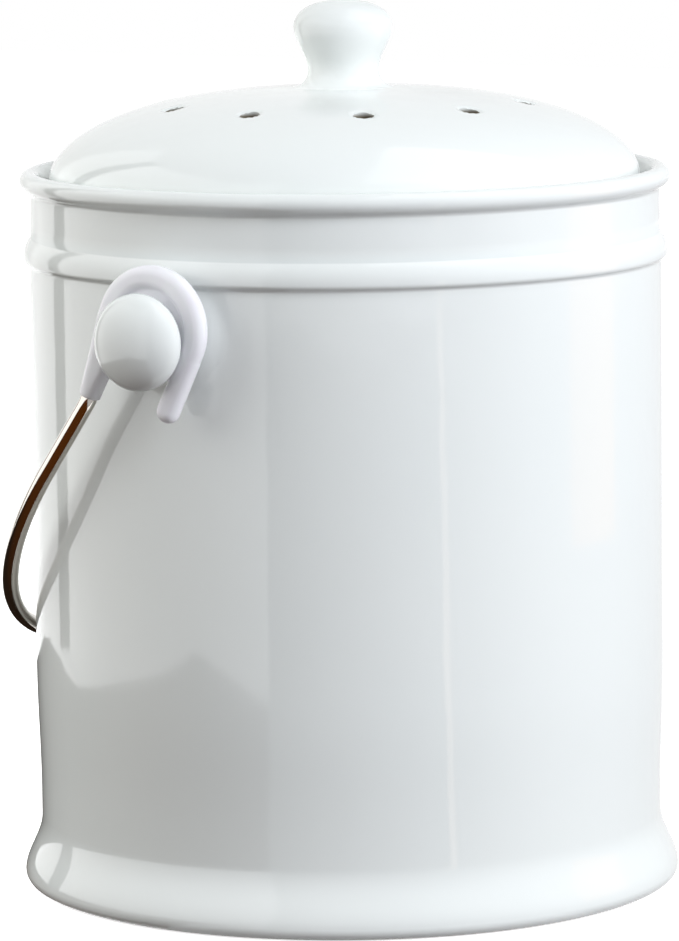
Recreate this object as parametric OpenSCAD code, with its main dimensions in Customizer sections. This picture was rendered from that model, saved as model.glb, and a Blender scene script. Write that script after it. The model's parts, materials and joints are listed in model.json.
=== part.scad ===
// Countertop compost caddy: a glazed stoneware crock with a lift-off vented lid,
// a charcoal filter held in the lid, and a steel bail hung on two cast studs.
// Millimetres. +Z is up, Z = 0 is the foot's resting plane and the crock's axis is Z.
// The studs lie along X, and the bail hangs down on the +Y side, resting on the wall.

/* [Crock] */
// Radius of the crock's straight wall
body_r = 88.2; // [72:0.1:110]
// Height of the crock from the foot to the crest of its lip
crock_h = 200.3; // [165:0.1:245]
// Wall thickness between the floor and the neck
wall_t = 5.6; // [4.5:0.1:8]
// Floor thickness over the recessed underside
floor_t = 6.2; // [4:0.1:10]
// Fillet between the floor and the wall inside
floor_fillet = 12; // [6:0.5:25]

/* [Foot] */
// How far the foot stands out beyond the wall
foot_out = 4.1; // [2:0.1:8]
// Rounding of the foot's outer bottom edge
foot_edge = 3.1; // [1:0.1:4]
// Height at which the foot's flare has run into the waist
foot_flare_h = 19; // [12:0.5:30]
// How far the waist above the foot is pulled in from the wall
waist_in = 0.8; // [0:0.1:2]
// Height at which the wall reaches its full radius
belly_z = 62; // [45:1:90]
// Width of the unglazed ring that the crock stands on
foot_ring_w = 8.6; // [5:0.1:14]
// Depth of the recess inside the foot ring
foot_recess = 2.4; // [1:0.1:5]

/* [Bead and lip] */
// Distance from the lip's crest down to the middle of the bead
bead_drop = 23.6; // [20:0.1:40]
// How far the bead stands out from the wall
bead_out = 1.5; // [0.5:0.1:3]
// Radius of the bead's rounded section
bead_arc_r = 8.4; // [5:0.1:14]
// Angle to which the bead's underside turns down
bead_under_a = 52; // [40:1:70]
// How far the neck between bead and lip is set in from the wall
neck_in = 0.4; // [0:0.1:1.5]
// How far the lip stands out from the wall
lip_out = 2.35; // [1.5:0.05:4]
// Radius of the lip's rolled edge
lip_roll_r = 2.8; // [2:0.1:3.5]
// Angle to which the lip's underside turns down
lip_under_a = 42; // [30:1:50]
// Radius of the hollow curve under the lip
lip_fillet_r = 2; // [1:0.1:3]

/* [Gallery] */
// Depth of the lid's ledge below the crest of the lip
seat_drop = 8.3; // [6:0.1:12]
// Radial clearance between the lid's edge and the foot of the lip
lid_edge_clear = 0.9; // [0.5:0.1:2.5]
// Width of the ledge that carries the lid
ledge_w = 4.7; // [3:0.1:7]
// Height of the thick mouth below the ledge
mouth_h = 9; // [5:0.5:14]
// Height of the slope from the mouth back to the wall
mouth_slope_h = 11; // [6:0.5:18]

/* [Lid] */
// How far the lid's edge lies inside the crock's wall radius
lid_inset = 5.9; // [5.5:0.1:8]
// Height of the lid's upright edge
lid_edge_h = 5.8; // [3:0.1:9]
// Rise of the dome above its upright edge
dome_h = 24.6; // [16:0.1:36]
// Exponent of the dome's outline across: 2 is an ellipse, more is flatter on top
dome_flat = 2.6; // [2:0.1:3.2]
// Exponent of the dome's outline upwards
dome_round = 1.83; // [1.5:0.01:2.2]
// Thickness of the dome at its middle
dome_t = 5.5; // [4:0.1:8]
// Radial clearance between the locating collar and the mouth
collar_clear = 1.2; // [0.6:0.1:2]
// Thickness of the locating collar under the lid
collar_t = 4.3; // [3:0.1:6]
// Depth of the locating collar below the ledge
collar_h = 10; // [8:0.1:16]
// Width of the step inside the collar that the filter holder seats on
land_w = 1.5; // [1:0.1:3]

/* [Knob] */
// Radius of the knob at its widest
knob_r = 13.8; // [10:0.1:20]
// Radius of the knob's neck
knob_neck_r = 9.9; // [7:0.1:13]
// Height of the knob above the dome
knob_h = 24.1; // [18:0.1:34]
// Height of the knob's rounded crown above its widest level
knob_crown_h = 7.4; // [4:0.1:11]
// Radius of the hollow curve between the dome and the knob
knob_fillet_r = 4.6; // [2:0.1:7]

/* [Vents] */
// Number of vent holes in the dome
vent_count = 10; // [6:1:14]
// Diameter of a vent hole
vent_d = 5.7; // [3:0.1:8]
// Distance from the lid's edge in to the circle of vent holes
vent_inset = 31.3; // [29:0.1:44]
// Angle of the first vent hole from +X
vent_phase = 2.4; // [0:0.1:36]

/* [Filter] */
// Thickness of the charcoal pad
pad_t = 6; // [4:0.1:9]
// Wall thickness of the plastic filter holder
holder_wall = 2; // [1.5:0.1:3]
// Thickness of the holder's upper flange
holder_flange_t = 2; // [1.5:0.1:3]
// Width of the holder's upper flange inside its wall
holder_flange_w = 8.7; // [6:0.1:12]
// Reach of a bayonet ledge in from the holder's wall
ledge_reach = 2.2; // [1.6:0.1:3]
// Thickness of the slotted retainer plate
plate_t = 2.4; // [2:0.1:3.5]
// Thickness of the bayonet ledges under the retainer's lugs
ledge_t = 2.2; // [1.5:0.1:2.4]
// Width of a spoke between the retainer's slots
spoke_w = 3.2; // [2:0.1:6]
// Number of spokes
spoke_count = 12; // [6:1:16]
// Radius of the retainer's plain middle
hub_r = 14; // [9:0.5:18]
// Number of rings of slots
slot_rings = 4; // [2:1:5]
// Width of the web between two rings of slots
slot_web = 3.4; // [2:0.1:5]
// Width of the plain rim round the slots
plate_rim_w = 5.6; // [4:0.1:10]
// Length of the grip bar across the retainer's middle
grip_len = 24; // [16:0.5:26]
// Half angle of a bayonet lug
lug_half_angle = 11; // [6:0.5:14]
// Half angle of a bayonet ledge
ledge_half_angle = 20; // [16:0.5:26]
// Turn that frees the retainer's lugs from the ledges
twist_angle = 45; // [38:1:60]

/* [Studs] */
// Distance from the lip's crest down to the studs' axis
stud_drop = 38.9; // [34:0.1:80]
// Radius of the stud's neck, which the hook turns on
stud_neck_r = 6.5; // [4.5:0.1:8]
// Radius of the stud's button
button_r = 13.05; // [10.5:0.05:18]
// Height of the button's domed front
button_dome_h = 7.6; // [4:0.1:10]
// Rounding of the button's rear edge
button_edge_r = 3.6; // [2:0.1:5]
// Radius of the flare between the wall and the stud's neck
stud_flare_r = 4; // [2:0.1:4.5]

/* [Hook] */
// Thickness of the hook's band along the stud axis
hook_t = 5.5; // [5:0.1:8]
// Distance from the crock's wall radius to the hook's back
hook_off = 5.35; // [4:0.05:9]
// Outer radius of the hook's ring
hook_ring_r = 17; // [15.5:0.1:20]
// Width of the hook's band
hook_band_w = 6.5; // [5:0.1:7.5]
// Height of the ring's centre above the stud's axis, along the slot
hook_rise = 2.9; // [1:0.1:4]
// Sideways offset of the ring's centre, towards the leg
hook_shift = 1; // [0:0.1:2]
// Radial running clearance of the seat round the neck
seat_clear = 0.08; // [0.03:0.01:0.1]
// Thickness of the recessed web that carries the seat
web_t = 3; // [2:0.1:4]
// Distance from the stud's axis down to the mouth of the leg's socket
leg_len = 23; // [20:0.1:32]
// Sideways distance from the stud's axis to the socket
leg_side = 12.4; // [11:0.1:14]
// Wall round the socket at the leg's end
socket_wall = 0.62; // [0.5:0.01:1.6]
// Length of the hook's free tail below the stud's axis
tail_len = 18.5; // [14:0.1:24]
// How far the tail leans in from the ring to its end
tail_lean = 0.7; // [0:0.1:2]
// Angle between the hook's slot and the plane of the bail
hook_cant = 17.6; // [0:0.1:30]

/* [Bail] */
// Radius of the steel rod
rod_r = 2.3; // [1.5:0.05:2.6]
// Length of rod held in each leg's socket
pin_len = 12; // [8:0.5:14]
// Radius of the bend where the rod leaves the socket
bend_r = 8; // [5:0.5:12]
// Inward lean of the bail's straight legs
leg_lean = 12.5; // [5:0.1:16]
// Length of the bail's straight legs
straight_len = 27; // [15:0.5:40]
// Radius of the bail's crown
crown_r = 76; // [50:0.5:100]
// Half angle of the bail's crown
crown_half_angle = 25; // [15:0.5:30]

/* [Clearances] */
// Gap between the lid and its ledge
lid_gap = 0.2; // [0.1:0.05:0.5]
// Gap between the hook's front and the button's back
button_gap = 0.3; // [0.2:0.05:0.6]
// Gap between the resting bail and the crock's wall
rest_gap = 0.3; // [0.2:0.05:0.6]
// Gap above the pad and under the retainer's lugs, which lets the retainer turn
twist_gap = 0.3; // [0.2:0.05:0.5]
// Radial gap round the pad, the retainer's plate and its lugs
filter_gap = 0.4; // [0.3:0.05:0.8]
// Radial clearance of the rod's pin in its socket
socket_clear = 0.03; // [0.02:0.01:0.1]
// Gap between the grip bar's lower edge and the level of the collar's lower edge
grip_gap = 0.6; // [0.3:0.1:2]

/* [Hidden] */

// Faces on a full circle, and steps in a profile's edges, short curves and long curves
$fn = 96;
edge_steps = 4;
arc_steps = 10;
curve_steps = 28;

// How far a cutter runs past what it cuts, and how far a joined shape runs into its neighbour
over = 1;
bite = 0.4;

// Turn by which an arc of an outline starts past the end of the one before it
join_step = 1;

// Crock, as radii and heights
foot_r = body_r + foot_out;
waist_r = body_r - waist_in;
neck_r = body_r - neck_in;
inner_r = body_r - wall_t;
foot_in_r = foot_r - foot_edge - foot_ring_w;
foot_inner_edge = 1.2;
foot_flare_skew = 0.85;
foot_flare_z = foot_edge + 0.1;
waist_top_z = foot_flare_h + 7;
floor_z = foot_recess + floor_t;
bead_z = crock_h - bead_drop;
bead_cx = body_r + bead_out - bead_arc_r;
bead_front_share = 0.15;
bead_nose_share = 0.5;
bead_fillet_share = 1 - bead_front_share - bead_nose_share;
bead_turn_a = acos(1 - bead_front_share * bead_out / bead_arc_r);
bead_nose_r = bead_nose_share * bead_out / (cos(bead_turn_a) - cos(bead_under_a));
bead_nose_cx = bead_cx + (bead_arc_r - bead_nose_r) * cos(bead_turn_a);
bead_nose_cz = bead_z - (bead_arc_r - bead_nose_r) * sin(bead_turn_a);
bead_fillet_r = bead_fillet_share * bead_out / (1 - cos(bead_under_a));
bead_fillet_cz = bead_nose_cz - (bead_nose_r + bead_fillet_r) * sin(bead_under_a);
bead_top_a = acos((neck_r - bead_cx) / bead_arc_r);
lip_cx = body_r + lip_out - lip_roll_r;
lip_cz = crock_h - lip_roll_r;
lip_stand = lip_out + neck_in;
lip_curves_r = lip_roll_r + lip_fillet_r;
lip_curve_share = 0.8;
lip_low_a = min(lip_under_a, acos(1 - lip_curve_share * lip_stand / lip_curves_r));
lip_flank = (lip_stand - lip_curves_r * (1 - cos(lip_low_a))) / sin(lip_low_a);
lip_fillet_cz = lip_cz - lip_curves_r * sin(lip_low_a) - lip_flank * cos(lip_low_a);
lip_inner_a = 150;
seat_z = crock_h - seat_drop;
lid_r = body_r - lid_inset;
gallery_r = lid_r + lid_edge_clear;
gallery_draft = 0.4;
mouth_r = gallery_r - ledge_w;
mouth_edge = 1.2;

// Lid
rim_z = seat_z + lid_gap;
rim_edge = 1.2;
dome_z = rim_z + lid_edge_h;
collar_r = mouth_r - collar_clear;
collar_in_r = collar_r - collar_t;
collar_z = seat_z - collar_h;
collar_edge = 1.4;
land_z = dome_z;
cavity_r = collar_in_r - land_w;
cavity_h = dome_h - dome_t;
knob_top_z = dome_z + dome_h + knob_h;
knob_wide_z = knob_top_z - knob_crown_h;
knob_foot_r = knob_neck_r + knob_fillet_r;
knob_low_z = dome_top(knob_foot_r) + knob_fillet_r;
knob_foot_a = asin(knob_foot_r / lid_r);
knob_crown_flat = 2.4;
vent_ring_r = lid_r - vent_inset;
vent_tilt = dome_slope(vent_ring_r);

// Filter, from the lid's step downwards
glue_gap = 0.3;
holder_r = collar_in_r - glue_gap;
holder_in_r = holder_r - holder_wall;
holder_open_r = holder_in_r - holder_flange_w;
flange_z = land_z - holder_flange_t;
pad_r = holder_in_r - filter_gap;
pad_z = flange_z - twist_gap - pad_t;
plate_z = pad_z - plate_t;
ledge_top_z = plate_z - twist_gap;
holder_z = ledge_top_z - ledge_t;
lug_r = holder_in_r - filter_gap;
ledge_in_r = holder_in_r - ledge_reach;
plate_r = ledge_in_r - filter_gap;
slot_out_r = plate_r - plate_rim_w;
slot_pitch = (slot_out_r - hub_r + slot_web) / slot_rings;
grip_w = 3;
grip_h = plate_z - collar_z - grip_gap;
lug_count = 3;
stop_angle = 2;
stop_gap_angle = 0.4;

// Studs
stud_z = crock_h - stud_drop;
hook_back_x = body_r + hook_off;
hook_x = hook_back_x + hook_t / 2;
button_x = hook_back_x + hook_t + button_gap;
stud_root_x = body_r - wall_t / 2;
stud_flare_gap = 0.4;
stud_flare_x = hook_back_x - stud_flare_gap;

// Hook, in its own plane: the slot opens downwards and the leg is on the +Y side
seat_r = stud_neck_r + seat_clear;
band_half_w = hook_band_w / 2;
band_mid_r = hook_ring_r - band_half_w;
band_flat = 0.3;
band_edge = (min(hook_t, hook_band_w) - band_flat) / 2;
leg_top_y = hook_shift + band_mid_r;
tail_top_y = hook_shift - band_mid_r;
tail_end_y = tail_top_y + tail_lean;
socket_r = rod_r + socket_clear;
socket_depth = pin_len + 0.5;
leg_end_r = socket_r + socket_wall;
leg_end_h = 2;
leg_mid_y = leg_side + 0.1;
leg_mid_z = -leg_len * 0.54;
leg_mid_r = band_half_w + 0.65;
web_low_z = -7;
hub_t = 4.6;
hub_wall = 2;

// Bail, hanging straight down in its own plane
pin_dir = [0, -sin(hook_cant), -cos(hook_cant)];
leg_dir = [-sin(leg_lean), 0, -cos(leg_lean)];
bend_angle = acos(pin_dir * leg_dir);
bend_tangent = bend_r * tan(bend_angle / 2);
bend_start = 0.1;
mouth_pt = canted([hook_x, leg_side, -leg_len]);
corner_pt = mouth_pt + pin_dir * (bend_tangent + bend_start);
shoulder_span = hook_x - straight_len * sin(leg_lean) - crown_r * sin(crown_half_angle);
shoulder_r = shoulder_span / (cos(leg_lean) - sin(crown_half_angle));
shoulder_angle = 90 - crown_half_angle - leg_lean;
shoulder_drop = shoulder_r * (cos(crown_half_angle) - sin(leg_lean));
crown_drop = crown_r * (1 - cos(crown_half_angle));
bail_depth = -corner_pt[2] + straight_len * cos(leg_lean) + shoulder_drop + crown_drop;
bail_reach = norm([corner_pt[1], bail_depth]);
straight_wall_angle = hang_angle(body_r);
crown_low_z = stud_z + corner_pt[1] * sin(straight_wall_angle) - bail_depth * cos(straight_wall_angle);
rest_angle = hang_angle(wall_r(crown_low_z));
rod_sides = 24;
bend_steps = 6;
shoulder_steps = 20;
crown_steps = 9;

// Points of an arc about [cx, cz], from angle a0 to a1
function arc(cx, cz, r, a0, a1, n = arc_steps) =
  [for (i = [0:n]) let (a = a0 + (a1 - a0) * i / n) [cx + r * cos(a), cz + r * sin(a)]];

// Share of the way along a smooth S, from 0 to 1
function eased(t) = (1 - cos(180 * t)) / 2;

// Points of a smooth S from radius r0 at height z0 to radius r1 at height z1
function ease(r0, z0, r1, z1, n = arc_steps, skew = 1) =
  [for (i = [0:n]) let (t = i / n) [r0 + (r1 - r0) * eased(pow(t, skew)), z0 + (z1 - z0) * t]];

// Outside radius of the crock at height z, from the foot's flare to the bead
function wall_r(z) =
  z > belly_z ? body_r
  : z > waist_top_z ? waist_r + waist_in * eased((z - waist_top_z) / (belly_z - waist_top_z))
  : z > foot_flare_h ? waist_r
  : foot_r - (foot_out + waist_in)
      * eased(pow(max(0, z - foot_flare_z) / (foot_flare_h - foot_flare_z), foot_flare_skew));

// Angle at which the bail's crown comes to rest against a wall of radius r
function hang_angle(r) = asin((r + rod_r + rest_gap) / bail_reach) - atan2(corner_pt[1], bail_depth);

// Height of a dome of radius a and rise b, at radius r
function dome_at(r, a, b) = b * pow(max(0, 1 - pow(r / a, dome_flat)), 1 / dome_round);
function dome_top(r) = dome_z + dome_at(r, lid_r, dome_h);

// Slope of the lid's dome at radius r, as an angle from level
function dome_slope(r) = atan2(dome_top(r - 1) - dome_top(r + 1), 2);

// A point of the hook's own plane, turned into the bail's frame
function canted(p) = [
  p[0],
  p[1] * cos(hook_cant) + p[2] * sin(hook_cant),
  -p[1] * sin(hook_cant) + p[2] * cos(hook_cant)
];

function unit(v) = v / norm(v);

// A ring sector from r0 to r1, height h, spanning half_angle each side of angle a
module sector(r0, r1, h, half_angle, a) {
  reach = r1 * 1.5;
  intersection() {
    difference() {
      cylinder(r = r1, h = h);
      translate([0, 0, -over])
        cylinder(r = r0, h = h + 2 * over);
    }
    rotate([0, 0, a])
      linear_extrude(height = h)
        polygon([[0, 0], [reach, -reach * tan(half_angle)], [reach, reach * tan(half_angle)]]);
  }
}

// Crock: one closed outline, from the recess out round the foot, up the wall,
// over the lip, down the gallery and the inside
module crock_outline() {
  polygon(concat(
    [[0, foot_recess], [foot_in_r - foot_recess, foot_recess]],
    arc(foot_in_r + foot_inner_edge, foot_inner_edge, foot_inner_edge, 180, 270, edge_steps),
    arc(foot_r - foot_edge, foot_edge, foot_edge, 270, 360),
    ease(foot_r, foot_flare_z, waist_r, foot_flare_h, skew = foot_flare_skew),
    ease(waist_r, waist_top_z, body_r, belly_z),
    arc(body_r + bead_fillet_r, bead_fillet_cz, bead_fillet_r, 180, 180 - bead_under_a, edge_steps),
    arc(bead_nose_cx, bead_nose_cz, bead_nose_r, join_step - bead_under_a, -bead_turn_a, edge_steps),
    arc(bead_cx, bead_z, bead_arc_r, join_step - bead_turn_a, bead_top_a),
    arc(neck_r + lip_fillet_r, lip_fillet_cz, lip_fillet_r, 180, 180 - lip_low_a, edge_steps),
    arc(lip_cx, lip_cz, lip_roll_r, join_step - lip_low_a, lip_inner_a, 2 * arc_steps),
    [[gallery_r + gallery_draft, seat_z + over], [gallery_r, seat_z]],
    arc(mouth_r + mouth_edge, seat_z - mouth_edge, mouth_edge, 90, 180, edge_steps),
    ease(mouth_r, seat_z - mouth_h, inner_r, seat_z - mouth_h - mouth_slope_h),
    arc(inner_r - floor_fillet, floor_z + floor_fillet, floor_fillet, 0, -90),
    [[0, floor_z]]
  ));
}

// Stud: neck, flare and domed button as one turned outline, starting inside the wall
module stud_outline() {
  polygon(concat(
    [[0, stud_root_x], [stud_neck_r + stud_flare_r, stud_root_x]],
    arc(stud_neck_r + stud_flare_r, stud_flare_x, stud_flare_r, 270, 180),
    [[stud_neck_r, button_x]],
    arc(button_r - button_edge_r, button_x + button_edge_r, button_edge_r, 270, 360),
    [for (i = [1:curve_steps])
      let (a = 90 * i / curve_steps)
        [button_r * cos(a), button_x + button_edge_r + button_dome_h * sin(a)]]
  ));
}

module stud() {
  translate([0, 0, stud_z])
    rotate([0, 90, 0])
      rotate_extrude()
        stud_outline();
}

module crock() {
  color("ghostwhite") {
    union() {
      rotate_extrude()
        crock_outline();
      difference() {
        union() {
          stud();
          mirror([1, 0, 0])
            stud();
        }
        translate([0, 0, stud_z - 2 * button_r])
          cylinder(r = body_r - wall_t / 3, h = 4 * button_r);
      }
    }
  }
}

module lid_outline() {
  polygon(concat(
    [[0, knob_top_z]],
    [for (i = [1:curve_steps - 1])
      let (r = knob_r * sin(90 * i / curve_steps))
        [r, knob_wide_z + knob_crown_h * sqrt(1 - pow(r / knob_r, knob_crown_flat))]],
    ease(knob_r, knob_wide_z, knob_neck_r, knob_low_z),
    arc(knob_foot_r, knob_low_z, knob_fillet_r, 190, 270),
    [for (i = [1:curve_steps])
      let (r = lid_r * sin(knob_foot_a + (90 - knob_foot_a) * i / curve_steps))
        [r, dome_top(r)]],
    arc(lid_r - rim_edge, rim_z + rim_edge, rim_edge, 0, -90, edge_steps),
    [[collar_r, rim_z]],
    arc(collar_r - collar_edge, collar_z + collar_edge, collar_edge, 0, -90, edge_steps),
    arc(collar_in_r + collar_edge, collar_z + collar_edge, collar_edge, 270, 180, edge_steps),
    [[collar_in_r, land_z], [cavity_r, land_z]],
    [for (i = [1:curve_steps])
      let (r = cavity_r * cos(90 * i / curve_steps))
        [r, land_z + dome_at(r, cavity_r, cavity_h)]]
  ));
}

module lid() {
  color("ghostwhite") {
    difference() {
      rotate_extrude()
        lid_outline();
      for (i = [0:vent_count - 1]) {
        rotate([0, 0, vent_phase + i * 360 / vent_count])
          translate([vent_ring_r, 0, dome_top(vent_ring_r)])
            rotate([0, vent_tilt, 0])
              cylinder(d = vent_d, h = 4 * dome_t, center = true);
      }
    }
  }
}

// Holder: a flanged ring in the lid's collar, with three bayonet ledges and their stops
module filter_holder() {
  color("dimgray") {
    union() {
      rotate_extrude()
        polygon([
          [holder_open_r, land_z],
          [holder_open_r, flange_z],
          [holder_in_r, flange_z],
          [holder_in_r, holder_z],
          [holder_r, holder_z],
          [holder_r, land_z]
        ]);
      for (i = [0:lug_count - 1]) {
        a = i * 360 / lug_count;
        translate([0, 0, holder_z])
          sector(ledge_in_r, holder_in_r + bite, ledge_t, ledge_half_angle, a);
        translate([0, 0, ledge_top_z - bite])
          sector(
            ledge_in_r + bite, holder_in_r + bite, plate_t + bite, stop_angle / 2,
            a - lug_half_angle - stop_gap_angle - stop_angle / 2
          );
      }
    }
  }
}

// Filter pad: a disc of felt that lies on the retainer
module charcoal_filter() {
  color("#2b2b2b") {
    translate([0, 0, pad_z])
      cylinder(r = pad_r, h = pad_t);
  }
}

// Retainer: a slotted plate with three bayonet lugs and a grip bar underneath
module filter_retainer() {
  color("dimgray") {
    union() {
      difference() {
        translate([0, 0, plate_z])
          cylinder(r = plate_r, h = plate_t);
        for (i = [0:slot_rings - 1]) {
          translate([0, 0, plate_z - over])
            slot_ring(hub_r + i * slot_pitch, hub_r + (i + 1) * slot_pitch - slot_web, plate_t + 2 * over);
        }
      }
      for (i = [0:lug_count - 1]) {
        translate([0, 0, plate_z])
          sector(plate_r - bite, lug_r, plate_t, lug_half_angle, i * 360 / lug_count);
      }
      translate([-grip_len / 2, -grip_w / 2, plate_z - grip_h])
        cube([grip_len, grip_w, grip_h + plate_t / 2]);
    }
  }
}

// One ring of slots, from radius r0 to r1 and height h, cut through by the spokes
module slot_ring(r0, r1, h) {
  difference() {
    cylinder(r = r1, h = h);
    translate([0, 0, -over])
      cylinder(r = r0, h = h + 2 * over);
    for (i = [0:spoke_count - 1]) {
      rotate([0, 0, i * 360 / spoke_count])
        translate([0, -spoke_w / 2, -over])
          cube([r1 + over, spoke_w, h + 2 * over]);
    }
  }
}

// Rounded section of the hook's band, w wide along the first axis
module band_section(w) {
  translate([-w / 2 + band_edge, -hook_t / 2])
    square([w - 2 * band_edge, hook_t]);
  translate([-w / 2, -hook_t / 2 + band_edge])
    square([w, hook_t - 2 * band_edge]);
  for (x = [-1, 1], y = [-1, 1]) {
    translate([x * (w / 2 - band_edge), y * (hook_t / 2 - band_edge)])
      circle(r = band_edge, $fn = 24);
  }
}

// A round-edged puck of radius r in the hook's plane, to hull a leg or tail from
module puck(y, z, r) {
  translate([0, y, z])
    rotate([0, 90, 0])
      rotate_extrude($fn = 32)
        intersection() {
          band_section(2 * r);
          translate([0, -hook_t])
            square([r, 2 * hook_t]);
        }
}

// Hook in its own plane, with X along the stud's axis and its seat at the origin
module hook_shape() {
  difference() {
    union() {
      difference() {
        translate([0, hook_shift, hook_rise])
          rotate([0, 90, 0])
            rotate_extrude()
              translate([band_mid_r, 0])
                band_section(hook_band_w);
        translate([-hook_t, -2 * hook_ring_r, -2 * hook_ring_r])
          cube([2 * hook_t, 4 * hook_ring_r, 2 * hook_ring_r]);
      }
      hull() {
        puck(tail_top_y, 0, band_half_w);
        puck(tail_end_y, -tail_len + band_half_w, band_half_w);
      }
      hull() {
        puck(leg_top_y, 0, band_half_w);
        puck(leg_mid_y, leg_mid_z, leg_mid_r);
      }
      hull() {
        puck(leg_mid_y, leg_mid_z, leg_mid_r);
        translate([0, leg_side, -leg_len])
          cylinder(r = leg_end_r, h = leg_end_h, $fn = 32);
      }
      translate([-web_t / 2, hook_shift, hook_rise])
        rotate([0, 90, 0])
          cylinder(r = hook_ring_r - hook_band_w + over, h = web_t);
      translate([-web_t / 2, tail_top_y, web_low_z])
        cube([web_t, leg_top_y - tail_top_y, hook_rise - web_low_z]);
      translate([-hub_t / 2, 0, 0])
        rotate([0, 90, 0])
          cylinder(r = seat_r + hub_wall, h = hub_t);
    }
    translate([-hook_t, 0, 0])
      rotate([0, 90, 0])
        cylinder(r = seat_r, h = 2 * hook_t);
    translate([-hook_t, -seat_r, -2 * hook_ring_r])
      cube([2 * hook_t, 2 * seat_r, 2 * hook_ring_r]);
    translate([0, leg_side, -leg_len - over])
      cylinder(r = socket_r, h = socket_depth + over);
  }
}

// Puts a piece of the hanging bail at its rest angle on the studs' axis
module at_rest() {
  translate([0, 0, stud_z])
    rotate([rest_angle, 0, 0])
      children();
}

module hook_right() {
  color("lavender") {
    at_rest()
      translate([hook_x, 0, 0])
        rotate([-hook_cant, 0, 0])
          hook_shape();
  }
}

module hook_left() {
  color("lavender") {
    mirror([1, 0, 0])
      hook_right();
  }
}

// Points of a bend that starts at point p along direction d and turns towards direction t
function bend(p, d, t, r, angle, n) =
  let (across = unit(t - d * (t * d)))
  [for (i = [1:n])
    let (a = angle * i / n)
      p + across * r * (1 - cos(a)) + d * r * sin(a)];

// Directions of the rod along the same bend
function bend_dirs(d, t, angle, n) =
  let (across = unit(t - d * (t * d)))
  [for (i = [1:n])
    let (a = angle * i / n)
      d * cos(a) + across * sin(a)];

// Round bar of radius r swept along a path whose rings stand square to dirs
module swept_rod(path, dirs, r) {
  last = len(path) - 1;
  rings = [
    for (i = [0:last])
      let (up = unit([0, 1, 0] - dirs[i] * dirs[i][1]), side = cross(dirs[i], up))
        for (k = [0:rod_sides - 1])
          let (a = 360 * k / rod_sides)
            path[i] + up * r * cos(a) + side * r * sin(a)
  ];
  walls = [
    for (i = [0:last - 1], k = [0:rod_sides - 1])
      let (n = (k + 1) % rod_sides, low = i * rod_sides, high = low + rod_sides)
        [low + k, low + n, high + n, high + k]
  ];
  first_end = [for (k = [rod_sides - 1:-1:0]) k];
  last_end = [for (k = [0:rod_sides - 1]) last * rod_sides + k];
  polyhedron(points = rings, faces = concat(walls, [first_end, last_end]), convexity = 6);
}

// Mirrors a list of points or directions to the other side of the crock
function other_side(list) = [for (i = [len(list) - 2:-1:0]) [-list[i][0], list[i][1], list[i][2]]];

// Bail: pin, bend, leaning leg, shoulder and half the crown, then the same mirrored
module bail_rod() {
  bend_pt = corner_pt - pin_dir * bend_tangent;
  shoulder_pt = corner_pt + leg_dir * straight_len;
  shoulder_path = bend(shoulder_pt, leg_dir, [-1, 0, 0], shoulder_r, shoulder_angle, shoulder_steps);
  shoulder_dirs = bend_dirs(leg_dir, [-1, 0, 0], shoulder_angle, shoulder_steps);
  crown_pt = shoulder_path[shoulder_steps - 1];
  crown_dir = shoulder_dirs[shoulder_steps - 1];
  half_path = concat(
    [bend_pt - pin_dir * (pin_len + bend_start), bend_pt],
    bend(bend_pt, pin_dir, leg_dir, bend_r, bend_angle, bend_steps),
    [shoulder_pt],
    shoulder_path,
    bend(crown_pt, crown_dir, [-1, 0, 0], crown_r, crown_half_angle, crown_steps)
  );
  half_dirs = concat(
    [pin_dir, pin_dir],
    bend_dirs(pin_dir, leg_dir, bend_angle, bend_steps),
    [leg_dir],
    shoulder_dirs,
    bend_dirs(crown_dir, [-1, 0, 0], crown_half_angle, crown_steps)
  );
  color("silver") {
    at_rest()
      swept_rod(concat(half_path, other_side(half_path)), concat(half_dirs, -other_side(half_dirs)), rod_r);
  }
}

crock();
lid();
filter_holder();
charcoal_filter();
filter_retainer();
hook_left();
hook_right();
bail_rod();
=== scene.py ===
import json
import math

import bmesh
import bpy
from mathutils import Matrix, Vector, noise


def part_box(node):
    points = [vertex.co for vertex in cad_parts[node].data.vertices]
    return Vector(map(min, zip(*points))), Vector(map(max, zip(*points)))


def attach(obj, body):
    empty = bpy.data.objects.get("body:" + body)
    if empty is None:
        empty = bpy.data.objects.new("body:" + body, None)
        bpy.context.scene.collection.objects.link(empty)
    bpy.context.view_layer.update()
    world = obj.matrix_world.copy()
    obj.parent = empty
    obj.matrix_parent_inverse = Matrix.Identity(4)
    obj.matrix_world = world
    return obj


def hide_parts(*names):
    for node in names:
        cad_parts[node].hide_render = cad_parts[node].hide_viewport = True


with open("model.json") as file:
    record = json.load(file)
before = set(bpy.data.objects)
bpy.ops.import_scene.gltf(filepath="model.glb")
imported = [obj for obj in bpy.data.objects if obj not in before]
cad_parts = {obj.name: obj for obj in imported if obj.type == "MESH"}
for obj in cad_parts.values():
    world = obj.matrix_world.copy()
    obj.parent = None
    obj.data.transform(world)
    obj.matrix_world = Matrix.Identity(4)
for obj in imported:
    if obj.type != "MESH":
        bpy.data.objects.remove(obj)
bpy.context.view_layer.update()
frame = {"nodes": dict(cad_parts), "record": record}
nodes = frame["nodes"]
scene = bpy.context.scene
print("frame loaded:", ", ".join(sorted(nodes)))

mm = 0.001  # the pieces' dictionaries are in millimetres and degrees
weld = 0.002 * mm  # points closer than this are one point
joints = {joint["name"]: joint for joint in frame["record"]["behaviour"]["joints"]}
studHeight = joints["handle_swing"]["pos_m"][2] / mm


# Small helpers

def hexColor(text):
    # sRGB hex to the linear values that a shader wants
    channels = [int(text[i:i + 2], 16) / 255 for i in (1, 3, 5)]
    return (*(c / 12.92 if c <= 0.04045 else ((c + 0.055) / 1.055) ** 2.4 for c in channels), 1.0)


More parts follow.
